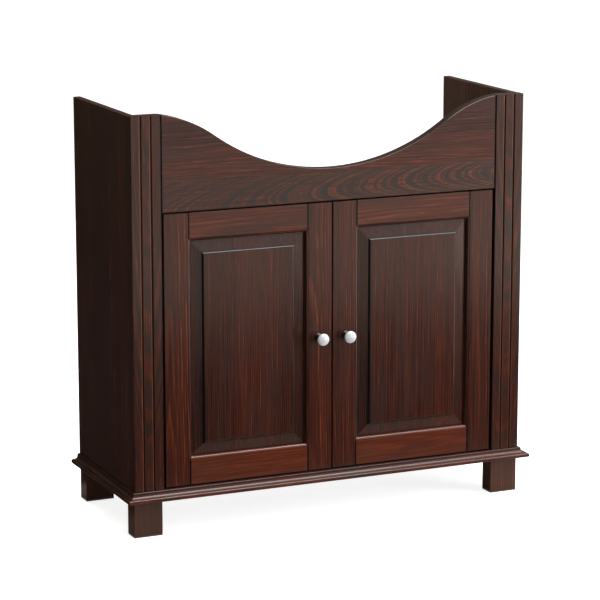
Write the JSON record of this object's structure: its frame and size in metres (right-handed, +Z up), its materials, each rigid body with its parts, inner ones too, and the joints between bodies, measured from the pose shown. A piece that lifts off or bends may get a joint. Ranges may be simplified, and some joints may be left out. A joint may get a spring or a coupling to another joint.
{
  "type": "vanity cabinet",
  "caption": "Open-topped wooden vanity cabinet for under a basin: scooped apron, fluted pilasters, hinged raised-panel doors with round knobs, moulded base and block feet.",
  "frame": {"origin": "on the floor, at the middle of the cabinet's width and of its depth with the knobs", "axes": "+X to the right seen from the front, +Y to the wall, +Z up; the doors face -Y"},
  "size_m": [0.68, 0.27, 0.64],
  "materials": {
    "stained_pine": "dark stain under satin lacquer",
    "beech": "bare",
    "hinge_steel": "nickel plated",
    "knob_metal": "satin",
    "catch_plastic": "matte",
    "magnet": "plain"
  },
  "bodies": {
    "cabinet": {"left_side_panel": "stained_pine", "right_side_panel": "stained_pine", "left_pilaster": "stained_pine", "right_pilaster": "stained_pine", "apron": "stained_pine", "left_hinge_batten": "stained_pine", "right_hinge_batten": "stained_pine", "base_front_moulding": "stained_pine", "base_left_moulding": "stained_pine", "base_right_moulding": "stained_pine", "base_rear_rail": "stained_pine", "bottom_panel": "stained_pine", "rear_rail": "stained_pine", "front_left_foot": "stained_pine", "front_right_foot": "stained_pine", "rear_left_foot": "stained_pine", "rear_right_foot": "stained_pine", "apron_dowels": "beech", "pilaster_dowels": "beech", "side_dowels": "beech", "rail_dowels": "beech", "foot_dowels": "beech", "left_hinge_arms": "hinge_steel", "right_hinge_arms": "hinge_steel", "left_hinge_plates": "hinge_steel", "right_hinge_plates": "hinge_steel", "hinge_plate_screws": "hinge_steel", "hinge_arm_screws": "hinge_steel", "catch_screws": "hinge_steel", "catch_block": "catch_plastic", "catch_magnets": "magnet"},
    "left_door": {"left_door_hinge_stile": "stained_pine", "left_door_meeting_stile": "stained_pine", "left_door_top_rail": "stained_pine", "left_door_bottom_rail": "stained_pine", "left_door_panel": "stained_pine", "left_hinge_cups": "hinge_steel", "left_hinge_pins": "hinge_steel", "left_cup_screws": "hinge_steel", "left_strike_plate": "hinge_steel", "left_knob_screw": "hinge_steel", "left_knob": "knob_metal"},
    "right_door": {"right_door_hinge_stile": "stained_pine", "right_door_meeting_stile": "stained_pine", "right_door_top_rail": "stained_pine", "right_door_bottom_rail": "stained_pine", "right_door_panel": "stained_pine", "right_hinge_cups": "hinge_steel", "right_hinge_pins": "hinge_steel", "right_cup_screws": "hinge_steel", "right_strike_plate": "hinge_steel", "right_knob_screw": "hinge_steel", "right_knob": "knob_metal"}
  },
  "joints": [
    {"name": "left_door_swing", "type": "hinge", "parent": "cabinet", "child": "left_door", "pos_m": [-0.258, -0.102, 0.283], "axis": [0, 0, -1], "range_deg": [0, 95]},
    {"name": "right_door_swing", "type": "hinge", "parent": "cabinet", "child": "right_door", "pos_m": [0.258, -0.102, 0.283], "axis": [0, 0, 1], "range_deg": [0, 95]}
  ]
}
